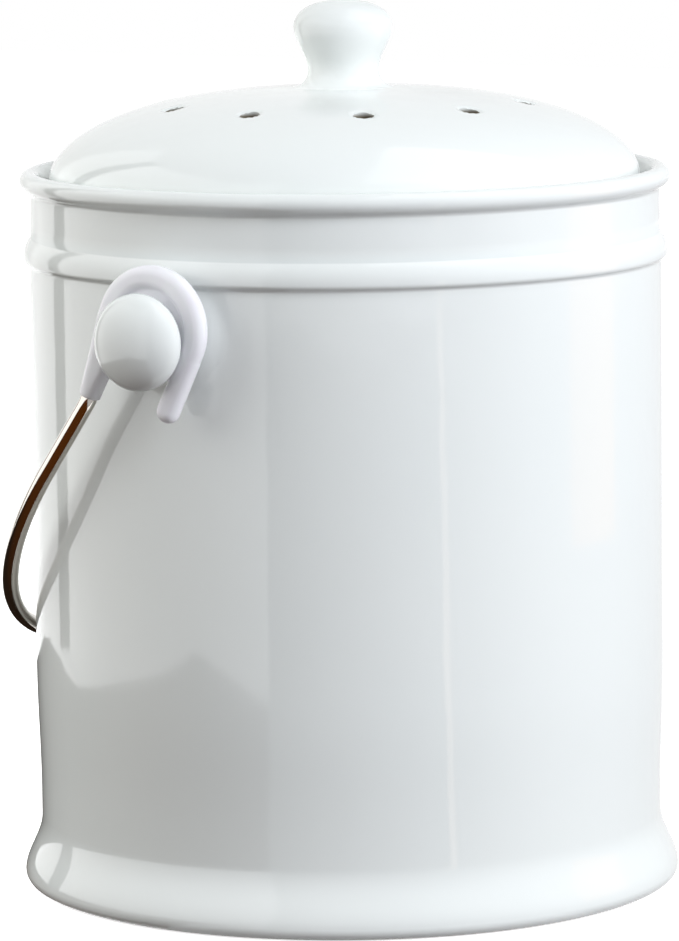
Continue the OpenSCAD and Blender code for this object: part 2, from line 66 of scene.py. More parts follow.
maths = "ShaderNodeMath"
vectorMaths = "ShaderNodeVectorMath"


def feed(tree, node, inputs):
    # each input takes a number, a socket, or a node for its first output; a list joins several
    for name, value in inputs.items():
        for source in value if isinstance(value, list) else [value]:
            if isinstance(source, bpy.types.Node):
                source = next(socket for socket in source.outputs if socket.enabled)
            if isinstance(source, bpy.types.NodeSocket):
                tree.links.new(source, node.inputs[name])
            else:
                node.inputs[name].default_value = source


def addNode(tree, kind, settings=None, inputs=None):
    # settings are the node's own properties, or only its operation;
    # a list of inputs goes by the node's own order
    node = tree.nodes.new(kind)
    if isinstance(settings, str):
        settings = {"operation": settings}
    for name, value in (settings or {}).items():
        setattr(node, name, value)
    if isinstance(inputs, list):
        inputs = dict(enumerate(inputs))
    feed(tree, node, inputs or {})
    return node


def newMaterial(name, values):
    material = bpy.data.materials.new(name)
    material.use_nodes = True
    shader = material.node_tree.nodes["Principled BSDF"]
    feed(material.node_tree, shader, values)
    return material, material.node_tree, shader


# Outlines are lists of (radius, height) in millimetres

def arc(centreR, centreZ, radius, start, end, step=7.5):
    count = max(3, math.ceil(abs(end - start) / step))
    angles = [math.radians(start + (end - start) * i / count) for i in range(count + 1)]
    return [(centreR + radius * math.cos(a), centreZ + radius * math.sin(a)) for a in angles]


def ease(r0, z0, r1, z1, count=16, skew=1.0):
    # a smooth S from one radius and height to another
    shares = [i / count for i in range(count + 1)]
    return [(r0 + (r1 - r0) * (1 - math.cos(math.pi * t ** skew)) / 2, z0 + (z1 - z0) * t) for t in shares]


def refine(points, step):
    # adds points along the straight stretches, so that no span of the outline is longer than step
    dense = [points[0]]
    for (r0, z0), (r1, z1) in zip(points, points[1:]):
        count = max(1, math.ceil(math.hypot(r1 - r0, z1 - z0) / step))
        dense += [(r0 + (r1 - r0) * i / count, z0 + (z1 - z0) * i / count) for i in range(1, count + 1)]
    return dense


def addObject(name, data):
    thing = bpy.data.objects.new(name, data)
    scene.collection.objects.link(thing)
    return thing


def addMesh(name, points, edges, faces):
    mesh = bpy.data.meshes.new(name)
    mesh.from_pydata(points, edges, faces)
    return addObject(name, mesh)


def lineObject(name, points):
    # a bare polyline that a tree reads, given in millimetres
    spots = [tuple(value * mm for value in point) for point in points]
    return addMesh(name, spots, [(i, i + 1) for i in range(len(spots) - 1)], [])


def discard(*helpers):
    for helper in helpers:
        bpy.data.objects.remove(helper)


# Geometry Nodes: each tree is built once, run with its own sizes and kept as a plain mesh

def newTree(name, sockets):
    tree = bpy.data.node_groups.new(name, "GeometryNodeTree")
    tree.interface.new_socket("Geometry", in_out="OUTPUT", socket_type="NodeSocketGeometry")
    for label, kind in sockets.items():
        tree.interface.new_socket(label, in_out="INPUT", socket_type="NodeSocket" + kind)
    return tree, tree.nodes.new("NodeGroupInput").outputs


def endTree(tree, geometry, material):
    real = addNode(tree, "GeometryNodeRealizeInstances", inputs={"Geometry": geometry})
    done = addNode(tree, "GeometryNodeSetMaterial", inputs={"Geometry": real, "Material": material})
    addNode(tree, "NodeGroupOutput", inputs={"Geometry": done})
    return tree


def grow(name, tree, values):
    # runs the tree on an empty mesh, and keeps what it makes as the piece's own mesh
    piece = addObject(name, bpy.data.meshes.new(name))
    modifier = piece.modifiers.new("tree", "NODES")
    modifier.node_group = tree
    for item in tree.interface.items_tree:
        if item.in_out == "INPUT":
            modifier[item.identifier] = values[item.name]
    shaped = piece.evaluated_get(bpy.context.evaluated_depsgraph_get())
    mesh = bpy.data.meshes.new_from_object(shaped)
    piece.modifiers.remove(modifier)
    piece.data = mesh
    mesh.name = name
    return piece


def tidyMesh(piece, sharpAngle=38):
    # outward faces and soft shading, with a hard edge only where the form turns sharply
    mesh = piece.data
    work = bmesh.new()
    work.from_mesh(mesh)
    bmesh.ops.recalc_face_normals(work, faces=work.faces)
    work.to_mesh(mesh)
    work.free()
    mesh.shade_smooth()
    mesh.set_sharp_from_angle(angle=math.radians(sharpAngle))
    return piece


def turnedTree():
    # turns an outline round Z, with its segments crowded together at evenly spaced places
    tree, given = newTree("turnedForm", {
        "Outline": "Object", "Segments": "Int", "Crowd Count": "Float", "Crowd Amount": "Float",
        "Crowd Start": "Float", "Material": "Material"})
    outline = addNode(tree, "GeometryNodeObjectInfo", inputs={"Object": given["Outline"]})
    size = addNode(tree, "GeometryNodeAttributeDomainSize", inputs={"Geometry": outline.outputs["Geometry"]})
    across = addNode(tree, maths, "ADD", [given["Segments"], 1.0])
    grid = addNode(tree, "GeometryNodeMeshGrid", inputs={
        "Size X": 1.0, "Size Y": 1.0, "Vertices X": across, "Vertices Y": size.outputs["Point Count"]})
    place = addNode(tree, "GeometryNodeInputPosition")
    share = addNode(tree, "ShaderNodeSeparateXYZ", inputs={"Vector": place})
    aroundShare = addNode(tree, maths, "ADD", [share.outputs["X"], 0.5])
    turn = addNode(tree, maths, "MULTIPLY", [aroundShare, math.tau])
    phase = addNode(tree, maths, "MULTIPLY", [turn, given["Crowd Count"]])
    wave = addNode(tree, maths, "MULTIPLY", [addNode(tree, maths, "SINE", [phase]), given["Crowd Amount"]])
    pull = addNode(tree, maths, "DIVIDE", [wave, given["Crowd Count"]])
    crowded = addNode(tree, maths, "SUBTRACT", [turn, pull])
    angle = addNode(tree, maths, "ADD", [crowded, given["Crowd Start"]])
    last = addNode(tree, maths, "SUBTRACT", [size.outputs["Point Count"], 1.0])
    alongShare = addNode(tree, maths, "ADD", [share.outputs["Y"], 0.5])
    rank = addNode(tree, maths, "ROUND", [addNode(tree, maths, "MULTIPLY", [alongShare, last])])
    point = addNode(tree, "GeometryNodeSampleIndex", {"data_type": "FLOAT_VECTOR", "clamp": True}, {
        "Geometry": outline.outputs["Geometry"], "Value": place, "Index": rank})
    section = addNode(tree, "ShaderNodeSeparateXYZ", inputs={"Vector": point})
    cosine = addNode(tree, maths, "COSINE", [angle])
    sine = addNode(tree, maths, "SINE", [angle])
    turned = addNode(tree, "ShaderNodeCombineXYZ", inputs={
        "X": addNode(tree, maths, "MULTIPLY", [section.outputs["X"], cosine]),
        "Y": addNode(tree, maths, "MULTIPLY", [section.outputs["X"], sine]),
        "Z": section.outputs["Z"]})
    moved = addNode(tree, "GeometryNodeSetPosition", inputs={"Geometry": grid, "Position": turned})
    joined = addNode(tree, "GeometryNodeMergeByDistance", inputs={"Geometry": moved, "Distance": weld})
    return endTree(tree, joined, given["Material"])


turnedForm = turnedTree()


def turned(name, outline, material, segments, crowdCount=1.0, crowdAmount=0.0, crowdStart=0.0):
    line = lineObject(name + "Outline", [(r, 0, z) for r, z in outline])
    piece = grow(name, turnedForm, {
        "Outline": line, "Segments": segments, "Crowd Count": crowdCount, "Crowd Amount": crowdAmount,
        "Crowd Start": crowdStart, "Material": material})
    discard(line)
    return piece


# Materials

glaze = {
    "fired": "#EDF0EE", "pooled": "#E2E8E7", "bare": "#DDD3C2", "pit": "#6E655A",
    "roughness": 0.06, "bareRoughness": 0.9, "ior": 1.5,
    "cloud": 70, "cloudShare": 0.5, "poolFrom": 0.5, "poolFull": 0.46, "ripple": 11, "rippleDepth": 0.05,
    "peel": 1.6, "peelDepth": 0.004,
    "pitCell": 19, "pitSize": 0.34, "pitShare": 0.22, "pitTint": 0.8, "pitDull": 0.5, "pitDepth": 0.12,
    "ringInner": 81.0, "ringOuter": 90.4, "ringTop": 0.9, "ringWander": 0.8,
    # painted shade in the vents: the vent walls turn dark between these two heights, darker towards the
    # bottom
    "ventShade": "#7A705E", "ventShadeFrom": 218.7, "ventShadeFull": 217.3,
}


def glazedStoneware(name, look):
    # slip-cast stoneware dipped in a white zircon glaze: a wet, even gloss with a slow ripple,
    # a cooler white where the glaze has pooled, a few pinholes, bare clay under the foot,
    # and painted shade deep in the vents, darker towards the bottom of each hole
    material, tree, shader = newMaterial(name, {"Roughness": look["roughness"], "IOR": look["ior"]})
    spot = addNode(tree, "ShaderNodeTexCoord").outputs["Object"]
    cloud = addNode(tree, "ShaderNodeTexNoise", inputs={
        "Vector": spot, "Scale": 1 / (look["cloud"] * mm), "Detail": 3.0, "Roughness": 0.45})
    hollow = addNode(tree, "ShaderNodeNewGeometry")
    pool = addNode(tree, "ShaderNodeMapRange", {"interpolation_type": "SMOOTHSTEP"}, {
        "Value": hollow.outputs["Pointiness"], "From Min": look["poolFrom"], "From Max": look["poolFull"]})
    clouded = addNode(tree, maths, "MULTIPLY", [cloud, look["cloudShare"]])
    wet = addNode(tree, maths, "MAXIMUM", [clouded, pool])
    white = addNode(tree, "ShaderNodeMix", {"data_type": "RGBA"}, {
        "Factor": wet, "A": hexColor(look["fired"]), "B": hexColor(look["pooled"])})

    cells = addNode(tree, "ShaderNodeTexVoronoi", inputs={
        "Vector": spot, "Scale": 1 / (look["pitCell"] * mm), "Randomness": 1.0})
    few = addNode(tree, "ShaderNodeSeparateColor", inputs={"Color": cells.outputs["Color"]})
    near = addNode(tree, "ShaderNodeMapRange", {"interpolation_type": "SMOOTHSTEP"}, {
        "Value": cells.outputs["Distance"], "From Min": look["pitSize"] / look["pitCell"], "From Max": 0.0})
    chosen = addNode(tree, maths, "LESS_THAN", [few.outputs["Red"], look["pitShare"]])
    pit = addNode(tree, maths, "MULTIPLY", [near, chosen])
    pitted = addNode(tree, "ShaderNodeMix", {"data_type": "RGBA"}, {
        "Factor": addNode(tree, maths, "MULTIPLY", [pit, look["pitTint"]]),
        "A": white, "B": hexColor(look["pit"])})

    parts = addNode(tree, "ShaderNodeSeparateXYZ", inputs={"Vector": spot})
    flat = addNode(tree, vectorMaths, "MULTIPLY", [spot, (1, 1, 0)])
    radius = addNode(tree, vectorMaths, "LENGTH", [flat])
    wander = addNode(tree, maths, "MULTIPLY", [cloud, look["ringWander"] * mm])
    edge = addNode(tree, maths, "ADD", [parts.outputs["Z"], wander])
    low = addNode(tree, maths, "LESS_THAN", [edge, look["ringTop"] * mm])
    outside = addNode(tree, maths, "GREATER_THAN", [radius, look["ringInner"] * mm])
    inside = addNode(tree, maths, "LESS_THAN", [radius, look["ringOuter"] * mm])
    bare = addNode(tree, maths, "MULTIPLY", [low, addNode(tree, maths, "MULTIPLY", [outside, inside])])
    color = addNode(tree, "ShaderNodeMix", {"data_type": "RGBA"}, {
        "Factor": bare, "A": pitted, "B": hexColor(look["bare"])})
    dusty = addNode(tree, maths, "MULTIPLY", [pit, look["pitDull"]])
    dull = addNode(tree, "ShaderNodeMix", inputs={
        "Factor": addNode(tree, maths, "MAXIMUM", [bare, dusty]),
        "A": look["roughness"], "B": look["bareRoughness"]})
    # painted shade: the vent walls darken with depth, standing in for the shade inside the holes
    bored = addNode(tree, "ShaderNodeAttribute", {"attribute_name": "ventWall"})
    deep = addNode(tree, "ShaderNodeMapRange", {"interpolation_type": "SMOOTHSTEP"}, {
        "Value": parts.outputs["Z"], "From Min": look["ventShadeFrom"] * mm, "From Max": look["ventShadeFull"] * mm})
    vented = addNode(tree, "ShaderNodeMix", {"data_type": "RGBA"}, {
        "Factor": addNode(tree, maths, "MULTIPLY", [bored.outputs["Fac"], deep]),
        "A": color, "B": hexColor(look["ventShade"])})
    feed(tree, shader, {"Base Color": vented, "Roughness": dull})

    ripple = addNode(tree, "ShaderNodeTexNoise", inputs={
        "Vector": spot, "Scale": 1 / (look["ripple"] * mm), "Detail": 1.0, "Roughness": 0.3})
    peel = addNode(tree, "ShaderNodeTexNoise", inputs={
        "Vector": spot, "Scale": 1 / (look["peel"] * mm), "Detail": 0.0})
    waves = addNode(tree, maths, "MULTIPLY", [ripple, look["rippleDepth"]])
    grain = addNode(tree, maths, "MULTIPLY", [peel, look["peelDepth"]])
    skin = addNode(tree, maths, "ADD", [waves, grain])
    pits = addNode(tree, maths, "MULTIPLY", [pit, look["pitDepth"]])
    surface = addNode(tree, maths, "SUBTRACT", [skin, pits])
    bump = addNode(tree, "ShaderNodeBump", inputs={"Height": surface, "Strength": 1.0, "Distance": mm})
    feed(tree, shader, {"Normal": bump})
    return material


acetal = {
    "color": "#F4F5F7", "shade": "#EAE8EF", "roughness": 0.26, "ior": 1.48, "flow": 14, "grain": 0.35,
    "grainDepth": 0.006, "partLine": 96.3, "partWidth": 0.11, "partDepth": 0.05,
    "milk": 0.4, "milkTint": (1.0, 0.9, 1.0), "milkDepth": 2.0,
}


def mouldedAcetal(name, look):
    # injection-moulded acetal: a milky, faintly lilac white with a soft satin shine,
    # and the fine line where the two halves of the mould met; the skin's grain is drawn
    # at 0.35 mm, coarser than the real 0.05, so that it shows
    material, tree, shader = newMaterial(name, {
        "Roughness": look["roughness"], "IOR": look["ior"], "Subsurface Weight": look["milk"],
        "Subsurface Radius": look["milkTint"], "Subsurface Scale": look["milkDepth"] * mm})
    spot = addNode(tree, "ShaderNodeTexCoord").outputs["Object"]
    flow = addNode(tree, "ShaderNodeTexNoise", inputs={
        "Vector": spot, "Scale": 1 / (look["flow"] * mm), "Detail": 2.0})
    tint = addNode(tree, "ShaderNodeMix", {"data_type": "RGBA"}, {
        "Factor": flow, "A": hexColor(look["color"]), "B": hexColor(look["shade"])})
    feed(tree, shader, {"Base Color": tint})
    grain = addNode(tree, "ShaderNodeTexNoise", inputs={
        "Vector": spot, "Scale": 1 / (look["grain"] * mm), "Detail": 1.0})
    parts = addNode(tree, "ShaderNodeSeparateXYZ", inputs={"Vector": spot})
    out = addNode(tree, maths, "ABSOLUTE", [parts.outputs["X"]])
    off = addNode(tree, maths, "ABSOLUTE", [addNode(tree, maths, "SUBTRACT", [out, look["partLine"] * mm])])
    seam = addNode(tree, "ShaderNodeMapRange", {"interpolation_type": "SMOOTHSTEP"}, {
        "Value": off, "From Min": look["partWidth"] * mm, "From Max": 0.0})
    spark = addNode(tree, maths, "MULTIPLY", [grain, look["grainDepth"]])
    ridge = addNode(tree, maths, "MULTIPLY", [seam, look["partDepth"]])
    height = addNode(tree, maths, "ADD", [spark, ridge])
    bump = addNode(tree, "ShaderNodeBump", inputs={"Height": height, "Strength": 1.0, "Distance": mm})
    feed(tree, shader, {"Normal": bump})
    return material


steel = {
    "color": "#CFCAC3", "worn": "#B9B3AB", "roughness": 0.1, "streak": 0.22, "streakLength": 30,
    "streakDepth": 0.003, "smoothest": 0.6, "roughest": 1.5,
}


def drawnStainless(name, look):
    # stainless wire drawn through a die and polished: mirror-bright across,
    # with hair-fine lines that run along it, drawn 0.22 mm apart where real ones are
    # nearer 0.03, so that they show
    material, tree, shader = newMaterial(name, {"Metallic": 1.0, "Roughness": look["roughness"]})
    along = addNode(tree, "ShaderNodeAttribute", {"attribute_name": "alongRod"})
    around = addNode(tree, "ShaderNodeAttribute", {"attribute_name": "sectionPlace"})
    parts = addNode(tree, "ShaderNodeSeparateXYZ", inputs={"Vector": around.outputs["Vector"]})
    drawn = addNode(tree, maths, "MULTIPLY", [along.outputs["Fac"], look["streak"] / look["streakLength"]])
    place = addNode(tree, "ShaderNodeCombineXYZ", inputs={
        "X": parts.outputs["X"], "Y": parts.outputs["Y"], "Z": drawn})
    lines = addNode(tree, "ShaderNodeTexNoise", inputs={
        "Vector": place, "Scale": 1 / (look["streak"] * mm), "Detail": 2.0})
    tint = addNode(tree, "ShaderNodeMix", {"data_type": "RGBA"}, {
        "Factor": lines, "A": hexColor(look["color"]), "B": hexColor(look["worn"])})
    gloss = addNode(tree, "ShaderNodeMapRange", inputs={
        "Value": lines, "From Min": 0.3, "From Max": 0.7,
        "To Min": look["roughness"] * look["smoothest"], "To Max": look["roughness"] * look["roughest"]})
    bump = addNode(tree, "ShaderNodeBump", inputs={
        "Height": lines, "Strength": 1.0, "Distance": look["streakDepth"] * mm})
    feed(tree, shader, {"Base Color": tint, "Roughness": gloss, "Normal": bump})
    return material


polypropylene = {
    "color": "#3B3D3F", "dust": "#55565A", "roughness": 0.42, "ior": 1.49, "grain": 0.5, "grainDepth": 0.02,
    "haze": 18, "hazeShare": 0.5,
}


def mouldedPolypropylene(name, look):
    # dark polypropylene from a spark-eroded mould: matt, with a fine even grain,
    # drawn at 0.5 mm where a real one is nearer 0.1, so that it shows
    material, tree, shader = newMaterial(name, {"Roughness": look["roughness"], "IOR": look["ior"]})
    spot = addNode(tree, "ShaderNodeTexCoord").outputs["Object"]
    grain = addNode(tree, "ShaderNodeTexNoise", inputs={
        "Vector": spot, "Scale": 1 / (look["grain"] * mm), "Detail": 2.0})
    haze = addNode(tree, "ShaderNodeTexNoise", inputs={
        "Vector": spot, "Scale": 1 / (look["haze"] * mm), "Detail": 3.0})
    tint = addNode(tree, "ShaderNodeMix", {"data_type": "RGBA"}, {
        "Factor": addNode(tree, maths, "MULTIPLY", [haze, look["hazeShare"]]),
        "A": hexColor(look["color"]), "B": hexColor(look["dust"])})
    bump = addNode(tree, "ShaderNodeBump", inputs={
        "Height": grain, "Strength": 1.0, "Distance": look["grainDepth"] * mm})
    feed(tree, shader, {"Base Color": tint, "Normal": bump})
    return material


felt = {
    "carbon": "#1B1B1C", "fibre": "#3A3A3C", "roughness": 0.97, "ior": 1.4, "sheen": 0.25,
    "strand": 0.6, "strandFrom": 0.5, "strandFull": 0.66, "clump": 5, "depth": 0.35,
}


def carbonFelt(name, look):
    # needled felt loaded with activated carbon: black and dull, with paler matted fibres,
    # drawn 0.6 mm wide, far coarser than the real 0.03, so that they show
    material, tree, shader = newMaterial(name, {
        "Roughness": look["roughness"], "IOR": look["ior"], "Sheen Weight": look["sheen"]})
    spot = addNode(tree, "ShaderNodeTexCoord").outputs["Object"]
    bend = addNode(tree, "ShaderNodeTexNoise", inputs={
        "Vector": spot, "Scale": 1 / (look["strand"] * mm), "Detail": 4.0, "Distortion": 2.5})
    clump = addNode(tree, "ShaderNodeTexNoise", inputs={
        "Vector": spot, "Scale": 1 / (look["clump"] * mm), "Detail": 2.0})
    strands = addNode(tree, "ShaderNodeMapRange", inputs={
        "Value": bend, "From Min": look["strandFrom"], "From Max": look["strandFull"]})
    tint = addNode(tree, "ShaderNodeMix", {"data_type": "RGBA"}, {
        "Factor": strands, "A": hexColor(look["carbon"]), "B": hexColor(look["fibre"])})
    tufts = addNode(tree, maths, "ADD", [bend, clump])
    height = addNode(tree, maths, "MULTIPLY", [tufts, look["depth"]])
    bump = addNode(tree, "ShaderNodeBump", inputs={"Height": height, "Strength": 0.8, "Distance": mm})
    feed(tree, shader, {"Base Color": tint, "Normal": bump})
    return material


stoneware = glazedStoneware("whiteGlazedStoneware", glaze)
hookPlastic = mouldedAcetal("mouldedAcetal", acetal)
rodSteel = drawnStainless("drawnStainless", steel)
filterPlastic = mouldedPolypropylene("mouldedPolypropylene", polypropylene)
filterFelt = carbonFelt("carbonFelt", felt)
print("materials done")


# Crock: the shell is one turned outline, and the two studs grow out of it on soft roots

crock = {
    "wall": 88.2, "height": 200.3, "thick": 5.6, "floorTop": 8.6, "floorFillet": 12, "gap": 0.1,
    "footOut": 4.1, "footEdge": 3.1, "flareTop": 19, "flareSkew": 0.85, "waistIn": 0.8, "waistTop": 26,
    "belly": 62, "ringWidth": 8.6, "recess": 2.4, "ringEdge": 1.2,
    "bandBelow": 22, "bandAbove": 1.5, "beadDrop": 23.6, "beadOut": 1.5, "beadArc": 8.4,
    "beadFront": 0.02, "beadNose": 0.5, "beadUnder": 65, "beadSkip": 3, "neckIn": 0.4,
    "lipOut": 2.35, "lipRoll": 2.8, "lipHollow": 1.4, "lipUnder": 60, "lipInnerAngle": 150,
    "seatDrop": 8.3, "seatBevel": 1, "gallery": 83.2, "galleryDraft": 0.4, "mouth": 78.5, "mouthEdge": 1.2,
    "mouthHeight": 9, "mouthSlope": 11, "segments": 232, "crowding": 0.5, "span": 5.0, "wallSpan": 1.6,
}
stud = {
    "neck": 6.5, "button": 13.05, "dome": 7.6, "domeSteps": 30, "edge": 3.6, "flare": 4, "flareFace": 93.15,
    "buttonBack": 99.35, "root": 85.4, "padFace": 89.3, "padBlend": 17.5, "outerFrom": 84.5,
    "segments": 96, "span": 1.6,
}


def crockOutline(size):
    wall, height = size["wall"], size["height"]
    foot, waist, neck = wall + size["footOut"], wall - size["waistIn"], wall - size["neckIn"]
    ringIn = foot - size["footEdge"] - size["ringWidth"]
    inner = wall - size["thick"]
    bead, beadCentre = height - size["beadDrop"], wall + size["beadOut"] - size["beadArc"]
    beadTop = math.degrees(math.acos((neck - beadCentre) / size["beadArc"]))
    # the bead's standout is shared between its front, its tight nose and the hollow under it
    turn = math.acos(1 - size["beadFront"] * size["beadOut"] / size["beadArc"])
    under = math.radians(size["beadUnder"])
    nose = size["beadNose"] * size["beadOut"] / (math.cos(turn) - math.cos(under))
    noseR = beadCentre + (size["beadArc"] - nose) * math.cos(turn)
    noseZ = bead - (size["beadArc"] - nose) * math.sin(turn)
    hollow = (1 - size["beadFront"] - size["beadNose"]) * size["beadOut"] / (1 - math.cos(under))
    hollowZ = noseZ - (nose + hollow) * math.sin(under)
    lipR, lipZ = wall + size["lipOut"] - size["lipRoll"], height - size["lipRoll"]
    lean = math.radians(size["lipUnder"])
    lipHollowR = neck + size["lipHollow"]
    flank = (lipR + size["lipRoll"] * math.cos(lean) - neck
             - size["lipHollow"] * (1 - math.cos(lean))) / math.sin(lean)
    lipHollowZ = lipZ - (size["lipRoll"] + size["lipHollow"]) * math.sin(lean) - flank * math.cos(lean)
    seat, mouth, edge = height - size["seatDrop"], size["mouth"], size["mouthEdge"]
    low = seat - size["mouthHeight"]
    fillet, floorTop = size["floorFillet"], size["floorTop"]
    studBand = refine(
        [(wall, studHeight - size["bandBelow"]), (wall, hollowZ - size["bandAbove"])], size["wallSpan"])
    return refine(
        [(0, size["recess"]), (ringIn - size["recess"], size["recess"])]
        + arc(ringIn + size["ringEdge"], size["ringEdge"], size["ringEdge"], 180, 270, step=15)
        + arc(foot - size["footEdge"], size["footEdge"], size["footEdge"], 270, 360)
        + ease(foot, size["footEdge"] + size["gap"], waist, size["flareTop"], skew=size["flareSkew"])
        + ease(waist, size["waistTop"], wall, size["belly"])
        + studBand
        + arc(wall + hollow, hollowZ, hollow, 180, 180 - size["beadUnder"], step=12)
        + arc(noseR, noseZ, nose, -size["beadUnder"], -math.degrees(turn), step=6)
        + arc(beadCentre, bead, size["beadArc"], size["beadSkip"] - math.degrees(turn), beadTop, step=4)
        + arc(lipHollowR, lipHollowZ, size["lipHollow"], 180, 180 - size["lipUnder"])
        + arc(lipR, lipZ, size["lipRoll"], -size["lipUnder"], size["lipInnerAngle"])
        + [(size["gallery"] + size["galleryDraft"], seat + size["seatBevel"]), (size["gallery"], seat)]
        + arc(mouth + edge, seat - edge, edge, 90, 180, step=18)
        + ease(mouth, low, inner, low - size["mouthSlope"], count=12)
        + arc(inner - fillet, floorTop + fillet, fillet, 0, -90)
        + [(0, floorTop)], size["span"])


def studOutline(size):
    neck, flare, back, edge = size["neck"], size["flare"], size["buttonBack"], size["edge"]
    steps = size["domeSteps"]
    domeAngles = [math.radians(90 * i / steps) for i in range(1, steps + 1)]
    domeLow = back + edge
    return refine(
        [(0, size["root"]), (neck + flare, size["root"])]
        + arc(neck + flare, size["flareFace"], flare, 270, 180)
        + [(neck, back)]
        + arc(size["button"] - edge, domeLow, edge, 270, 360, step=6)
        + [(size["button"] * math.cos(a), domeLow + size["dome"] * math.sin(a)) for a in domeAngles],
        size["span"])


def studdedTree():
    # swells the outer wall into a flat root round each stud, then unites the shell and both studs
    tree, given = newTree("studdedShell", {
        "Shell": "Object", "Stud": "Object", "Stud Height": "Float", "Root Radius": "Float",
        "Blend Radius": "Float", "Root Face": "Float", "Outer From": "Float", "Material": "Material"})
    shell = addNode(tree, "GeometryNodeObjectInfo", inputs={"Object": given["Shell"]})
    place = addNode(tree, "GeometryNodeInputPosition")
    parts = addNode(tree, "ShaderNodeSeparateXYZ", inputs={"Vector": place})
    rise = addNode(tree, maths, "SUBTRACT", [parts.outputs["Z"], given["Stud Height"]])
    spread = addNode(tree, "ShaderNodeCombineXYZ", inputs={"Y": parts.outputs["Y"], "Z": rise})
    reach = addNode(tree, vectorMaths, "LENGTH", [spread])
    share = addNode(tree, "ShaderNodeMapRange", {"interpolation_type": "SMOOTHSTEP"}, {
        "Value": reach, "From Min": given["Blend Radius"], "From Max": given["Root Radius"]})
    out = addNode(tree, maths, "ABSOLUTE", [parts.outputs["X"]])
    short = addNode(tree, maths, "SUBTRACT", [given["Root Face"], out])
    lift = addNode(tree, maths, "MULTIPLY", [share, short])
    face = addNode(tree, maths, "ADD", [out, lift])
    newX = addNode(tree, maths, "MULTIPLY", [face, addNode(tree, maths, "SIGN", [parts.outputs["X"]])])
    swollen = addNode(tree, "ShaderNodeCombineXYZ", inputs={
        "X": newX, "Y": parts.outputs["Y"], "Z": parts.outputs["Z"]})
    wall = addNode(tree, "GeometryNodeSetPosition", inputs={
        "Geometry": shell.outputs["Geometry"], "Position": swollen,
        "Selection": addNode(tree, maths, "GREATER_THAN", [out, given["Outer From"]])})
    lone = addNode(tree, "GeometryNodeObjectInfo", inputs={"Object": given["Stud"]})
    lifted = addNode(tree, "ShaderNodeCombineXYZ", inputs={"Z": given["Stud Height"]})
    sides = [addNode(tree, "GeometryNodeTransform", inputs={
        "Geometry": lone.outputs["Geometry"], "Translation": lifted,
        "Rotation": (0, turn, 0)}) for turn in (math.pi / 2, -math.pi / 2)]
    whole = addNode(tree, "GeometryNodeMeshBoolean", {"operation": "UNION", "solver": "MANIFOLD"}, {
        "Mesh 2": [wall, *sides]})
    return endTree(tree, whole, given["Material"])


def buildCrock(size, knob):
    shell = turned("crockTurned", crockOutline(size), stoneware, size["segments"],
                   crowdCount=2.0, crowdAmount=size["crowding"])
    button = turned("studTurned", studOutline(knob), stoneware, knob["segments"])
    for part in (shell, button):
        tidyMesh(part)
    piece = grow("crockBody", studdedTree(), {
        "Shell": shell, "Stud": button, "Stud Height": studHeight * mm,
        "Root Radius": (knob["neck"] + knob["flare"]) * mm, "Blend Radius": knob["padBlend"] * mm,
        "Root Face": knob["padFace"] * mm, "Outer From": knob["outerFrom"] * mm, "Material": stoneware})
    discard(shell, button)
    return tidyMesh(piece)


crockBody = buildCrock(crock, stud)
print("crock done:", len(crockBody.data.polygons), "faces")


# Lid: a turned dome and knob, with a ring of glaze-rounded vents

lid = {
    "rim": 82.3, "rimZ": 192.2, "rimEdge": 1.2, "edgeHeight": 5.8, "dome": 24.6, "flat": 2.6, "round": 1.83,
    "domeThick": 5.5, "collar": 77.3, "collarIn": 73.0, "collarZ": 182, "collarEdge": 1.4, "land": 1.5,
    "knob": 13.8, "neck": 9.9, "knobHeight": 24.1, "crown": 7.4, "crownFlat": 2.4, "fillet": 4.6,
    "filletFrom": 190, "segments": 300, "curveSteps": 36, "domeSteps": 44, "span": 1.5,
}
vents = {
    "count": 10, "size": 5.7, "inset": 31.3, "phase": 2.4, "softness": 0.6, "crowding": 0.62,
    "sides": 40, "boreLength": 22,
}


def domeHeight(r, reach, rise, size):
    return rise * max(0.0, 1 - (r / reach) ** size["flat"]) ** (1 / size["round"])


def domeTop(r, size):
    return size["rimZ"] + size["edgeHeight"] + domeHeight(r, size["rim"], size["dome"], size)


def lidOutline(size):
    rim, rimZ, edge = size["rim"], size["rimZ"], size["rimEdge"]
    land = rimZ + size["edgeHeight"]
    top = land + size["dome"] + size["knobHeight"]
    wide = top - size["crown"]
    footR = size["neck"] + size["fillet"]
    low = domeTop(footR, size) + size["fillet"]
    startAngle = math.asin(footR / rim)
    steps, domeSteps = size["curveSteps"], size["domeSteps"]
    sines = [math.sin(math.radians(90 * i / steps)) for i in range(1, steps)]
    crown = [(size["knob"] * t, wide + size["crown"] * math.sqrt(1 - t ** size["crownFlat"])) for t in sines]
    swing = math.pi / 2 - startAngle
    domeR = [rim * math.sin(startAngle + swing * i / domeSteps) for i in range(1, domeSteps + 1)]
    cavity, cavityRise = size["collarIn"] - size["land"], size["dome"] - size["domeThick"]
    cavityR = [cavity * math.cos(math.radians(90 * i / steps)) for i in range(1, steps + 1)]
    collarLow = size["collarZ"] + size["collarEdge"]
    return refine(
        [(0, top)]
        + crown
        + ease(size["knob"], wide, size["neck"], low)
        + arc(footR, low, size["fillet"], size["filletFrom"], 270)
        + [(r, domeTop(r, size)) for r in domeR]
        + arc(rim - edge, rimZ + edge, edge, 0, -90, step=15)
        + [(size["collar"], rimZ)]
        + arc(size["collar"] - size["collarEdge"], collarLow, size["collarEdge"], 0, -90, step=15)
        + arc(size["collarIn"] + size["collarEdge"], collarLow, size["collarEdge"], 270, 180, step=15)
        + [(size["collarIn"], land), (cavity, land)]
        + [(r, land + domeHeight(r, cavity, cavityRise, size)) for r in cavityR], size["span"])


